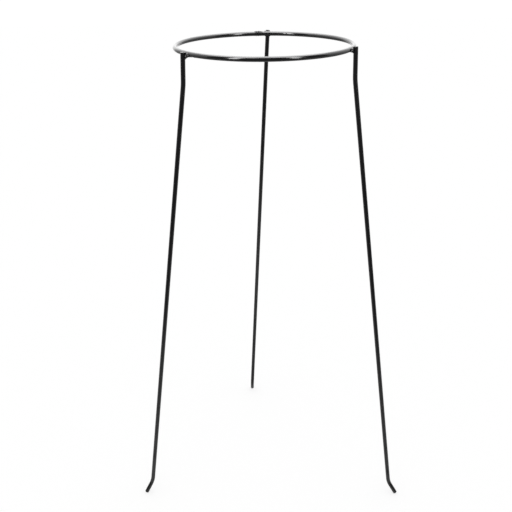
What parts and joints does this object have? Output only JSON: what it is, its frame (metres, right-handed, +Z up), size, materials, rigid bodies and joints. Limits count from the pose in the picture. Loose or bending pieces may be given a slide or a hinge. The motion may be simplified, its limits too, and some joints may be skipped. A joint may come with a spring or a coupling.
{
  "type": "tripod hunting stand",
  "caption": "Free-standing tripod stand of welded round steel bar, painted gloss black, with an open ring on top that carries a bucket, feeder or pan.",
  "frame": {"origin": "on the ground, straight below the centre of the ring", "axes": "+Z up; +Y towards the rear leg, and the seam of the ring lies on +Y"},
  "size_m": [0.5355, 0.4351, 0.9157],
  "materials": {
    "ring_paint": "gloss black enamel",
    "leg_paint": "gloss black enamel",
    "weld_paint": "gloss black enamel over rough bead"
  },
  "bodies": {
    "root": {"ring": "ring_paint", "leg_left": "leg_paint", "leg_right": "leg_paint", "leg_rear": "leg_paint", "weld_left": "weld_paint", "weld_right": "weld_paint", "weld_rear": "weld_paint", "weld_ring_seam": "weld_paint"}
  },
  "joints": []
}
